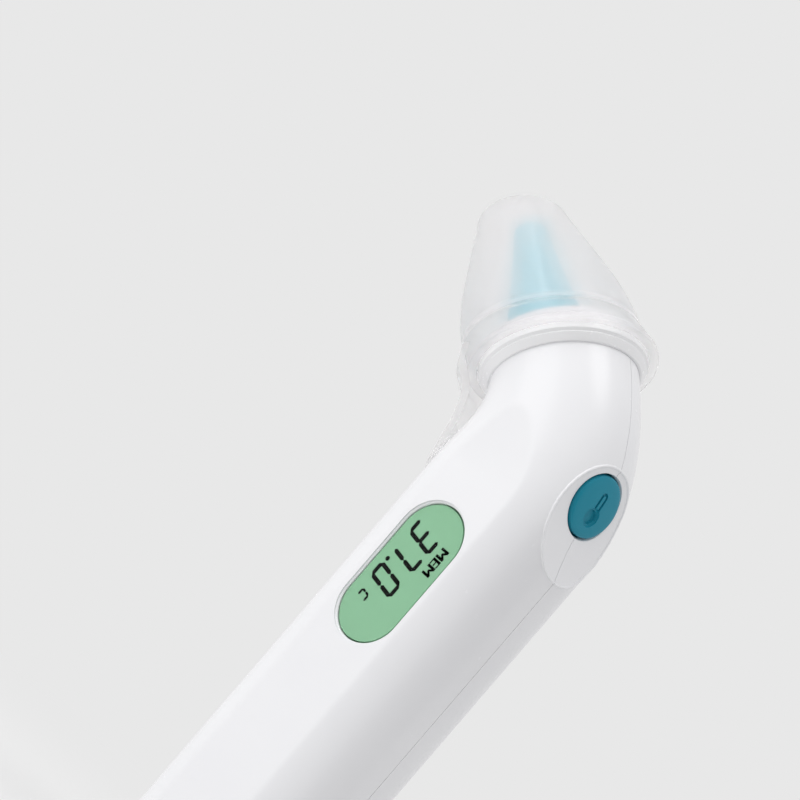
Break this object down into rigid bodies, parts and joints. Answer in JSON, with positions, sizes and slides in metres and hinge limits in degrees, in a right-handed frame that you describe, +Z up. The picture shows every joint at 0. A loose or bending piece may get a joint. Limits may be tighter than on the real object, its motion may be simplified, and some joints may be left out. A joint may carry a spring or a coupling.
{
  "type": "infrared ear thermometer",
  "caption": "Handheld infrared ear thermometer: bent head, flared probe under a pull-off frosted cap, display window, sprung scan button and sliding battery door.",
  "frame": {"origin": "centre of the handle's flat end", "axes": "+Z up along the handle, -Y the display side, +X the outer side of the bend with the scan button; the head bends towards -X"},
  "size_m": [0.0715, 0.0374, 0.156],
  "materials": {
    "white_shell": "smooth gloss white ABS",
    "frosted_cap": "frosted translucent polypropylene",
    "clear_window": "clear polished plastic",
    "lcd": "green reflective liquid-crystal cell",
    "teal_button": "satin teal plastic",
    "teal_probe": "satin light teal plastic",
    "white_inner": "moulded white plastic",
    "black_inner": "moulded black plastic",
    "connector_rubber": "silicone elastomer",
    "board": "green solder mask on glass-fibre laminate",
    "cell_jacket": "printed film over a steel can",
    "contact_steel": "nickel-plated spring steel",
    "screw_steel": "zinc-plated steel",
    "sensor_metal": "plated sensor can",
    "holder_brass": "turned brass",
    "lead_orange": "insulated lead",
    "lead_grey": "insulated lead",
    "wire_red": "insulated wire",
    "wire_black": "insulated wire"
  },
  "bodies": {
    "housing": {"front_shell": "white_shell", "rear_shell": "white_shell", "head_ring": "white_shell", "probe_base": "white_shell", "display_window": "clear_window", "probe_lens": "clear_window", "display_panel": "lcd", "probe_cone": "teal_probe", "display_backlight": "white_inner", "battery_tray": "white_inner", "display_frame": "black_inner", "controller_chip": "black_inner", "buzzer": "black_inner", "display_connector": "connector_rubber", "main_board": "board", "switch_board": "board", "battery_left": "cell_jacket", "battery_right": "cell_jacket", "contact_bridge": "contact_steel", "contact_negative": "contact_steel", "contact_positive": "contact_steel", "tactile_switch": "contact_steel", "tray_screw_1": "screw_steel", "tray_screw_2": "screw_steel", "case_screw": "screw_steel", "sensor_can": "sensor_metal", "sensor_holder": "holder_brass", "sensor_lead": "lead_orange", "switch_lead": "lead_grey", "supply_wire_red": "wire_red", "supply_wire_black": "wire_black"},
    "cap": {"probe_cap": "frosted_cap"},
    "scan_button": {"scan_button": "teal_button", "switch_actuator": "black_inner"},
    "battery_door": {"battery_door": "white_shell"}
  },
  "joints": [
    {"name": "cap_pull", "type": "slide", "parent": "housing", "child": "cap", "axis": [-0.7986, 0, 0.6018], "range_m": [0, 0.06]},
    {"name": "scan_press", "type": "slide", "parent": "housing", "child": "scan_button", "axis": [-0.9903, 0, -0.1392], "range_m": [0, 0.0008], "stiffness_N_per_m": 1500},
    {"name": "door_slide", "type": "slide", "parent": "housing", "child": "battery_door", "axis": [0, 0, -1], "range_m": [0, 0.055]}
  ]
}
